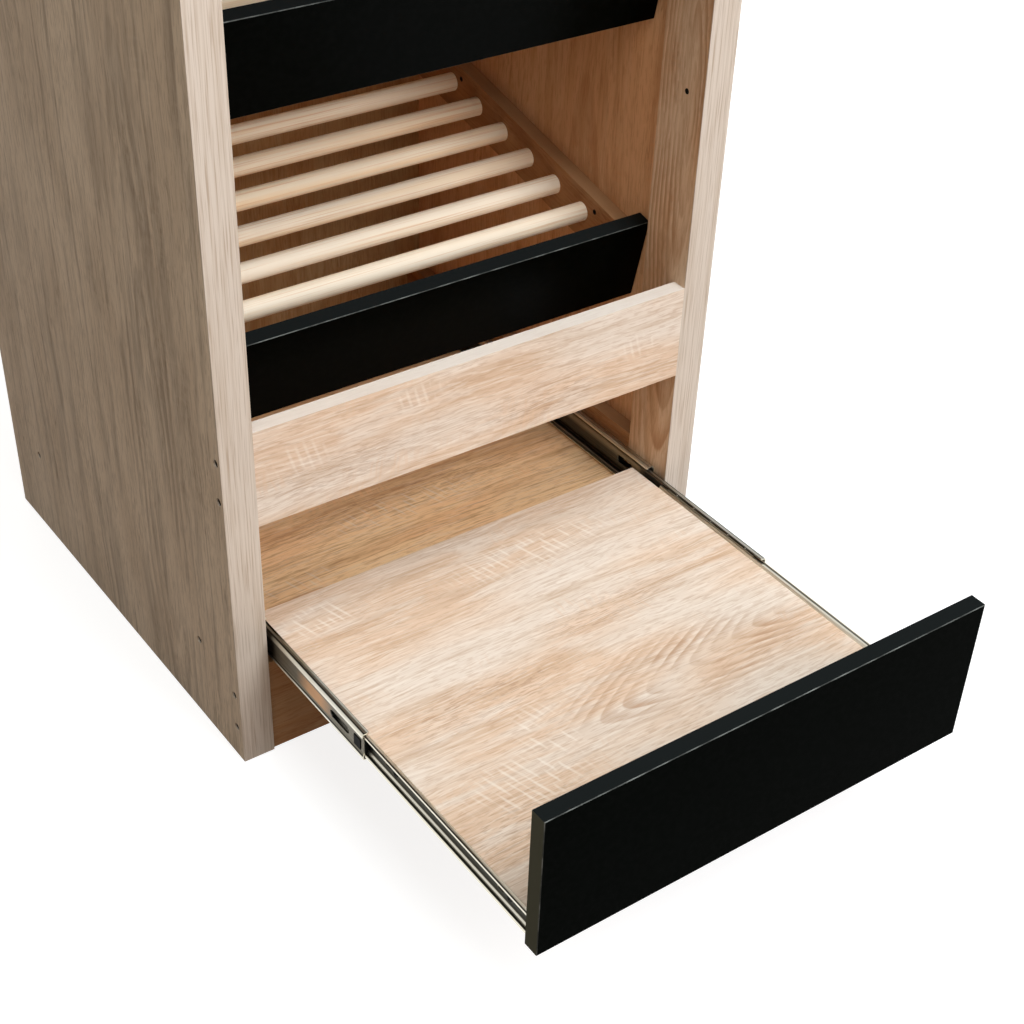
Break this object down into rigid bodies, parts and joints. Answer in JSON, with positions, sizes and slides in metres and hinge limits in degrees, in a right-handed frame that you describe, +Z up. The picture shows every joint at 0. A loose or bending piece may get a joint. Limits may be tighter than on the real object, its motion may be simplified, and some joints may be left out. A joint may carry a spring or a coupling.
{
  "type": "open-front kitchen shelf unit",
  "caption": "Open-front floor-standing shelf unit with sloped rod shelves behind black fascias and a pull-out tray on ball-bearing slides above a plinth.",
  "frame": {"origin": "on the floor under the middle of the plinth board", "axes": "+X to the right seen from the front, +Y to the back, +Z up"},
  "size_m": [0.6, 1.05, 1],
  "materials": {
    "oak_board": "oak-pattern laminated chipboard, matt",
    "black_board": "black laminated chipboard, matt",
    "pine_rod": "planed pine, unpainted",
    "beech_dowel": "plain beech",
    "zinc_slide": "zinc-plated sheet",
    "cage_strip": "plain strip",
    "bearing_ball": "polished",
    "black_plastic": "moulded, satin",
    "zinc_screw": "zinc-plated"
  },
  "bodies": {
    "cabinet": {"back_panel": "oak_board", "bottom_panel": "oak_board", "cabinet_slide_screws": "zinc_screw", "carcass_screws": "zinc_screw", "fascia_dowels": "beech_dowel", "front_rail": "oak_board", "left_cabinet_member": "zinc_slide", "left_edge_band": "oak_board", "left_front_stile": "oak_board", "left_side_panel": "oak_board", "left_slide_packer": "oak_board", "lower_fascia": "black_board", "lower_left_rail": "oak_board", "lower_right_rail": "oak_board", "lower_rod_1": "pine_rod", "lower_rod_2": "pine_rod", "lower_rod_3": "pine_rod", "lower_rod_4": "pine_rod", "lower_rod_5": "pine_rod", "lower_rod_6": "pine_rod", "lower_rod_7": "pine_rod", "packer_screws": "zinc_screw", "plinth_board": "oak_board", "right_cabinet_member": "zinc_slide", "right_edge_band": "oak_board", "right_front_stile": "oak_board", "right_side_panel": "oak_board", "right_slide_packer": "oak_board", "shelf_rail_screws": "zinc_screw", "stile_screws": "zinc_screw", "top_panel": "oak_board", "upper_fascia": "black_board", "upper_left_rail": "oak_board", "upper_right_rail": "oak_board", "upper_rod_1": "pine_rod", "upper_rod_2": "pine_rod", "upper_rod_3": "pine_rod", "upper_rod_4": "pine_rod", "upper_rod_5": "pine_rod", "upper_rod_6": "pine_rod", "upper_rod_7": "pine_rod"},
    "tray": {"tray_board": "oak_board", "tray_front": "black_board", "tray_dowels": "beech_dowel", "tray_slide_screws": "zinc_screw", "left_tray_member": "zinc_slide", "right_tray_member": "zinc_slide"},
    "left_middle": {"left_middle_member": "zinc_slide", "left_stop_buffer": "black_plastic"},
    "left_outer_bearing": {"left_outer_cage": "cage_strip", "left_outer_balls": "bearing_ball"},
    "left_inner_bearing": {"left_inner_cage": "cage_strip", "left_inner_balls": "bearing_ball"},
    "right_middle": {"right_middle_member": "zinc_slide", "right_stop_buffer": "black_plastic"},
    "right_outer_bearing": {"right_outer_cage": "cage_strip", "right_outer_balls": "bearing_ball"},
    "right_inner_bearing": {"right_inner_cage": "cage_strip", "right_inner_balls": "bearing_ball"}
  },
  "joints": [
    {"name": "tray_slide", "type": "slide", "parent": "cabinet", "child": "tray", "axis": [0, 1, 0], "range_m": [0, 0.475]},
    {"name": "left_middle_slide", "type": "slide", "parent": "cabinet", "child": "left_middle", "axis": [0, 1, 0], "range_m": [0, 0.202]},
    {"name": "left_outer_bearing_slide", "type": "slide", "parent": "cabinet", "child": "left_outer_bearing", "axis": [0, 1, 0], "range_m": [0, 0.101]},
    {"name": "left_inner_bearing_slide", "type": "slide", "parent": "cabinet", "child": "left_inner_bearing", "axis": [0, 1, 0], "range_m": [0, 0.3385]},
    {"name": "right_middle_slide", "type": "slide", "parent": "cabinet", "child": "right_middle", "axis": [0, 1, 0], "range_m": [0, 0.202]},
    {"name": "right_outer_bearing_slide", "type": "slide", "parent": "cabinet", "child": "right_outer_bearing", "axis": [0, 1, 0], "range_m": [0, 0.101]},
    {"name": "right_inner_bearing_slide", "type": "slide", "parent": "cabinet", "child": "right_inner_bearing", "axis": [0, 1, 0], "range_m": [0, 0.3385]}
  ],
  "couplings": [
    {"joint": "left_middle_slide", "follows": "tray_slide", "ratio": 0.42526},
    {"joint": "left_outer_bearing_slide", "follows": "tray_slide", "ratio": 0.21263},
    {"joint": "left_inner_bearing_slide", "follows": "tray_slide", "ratio": 0.71263},
    {"joint": "right_middle_slide", "follows": "tray_slide", "ratio": 0.42526},
    {"joint": "right_outer_bearing_slide", "follows": "tray_slide", "ratio": 0.21263},
    {"joint": "right_inner_bearing_slide", "follows": "tray_slide", "ratio": 0.71263}
  ]
}
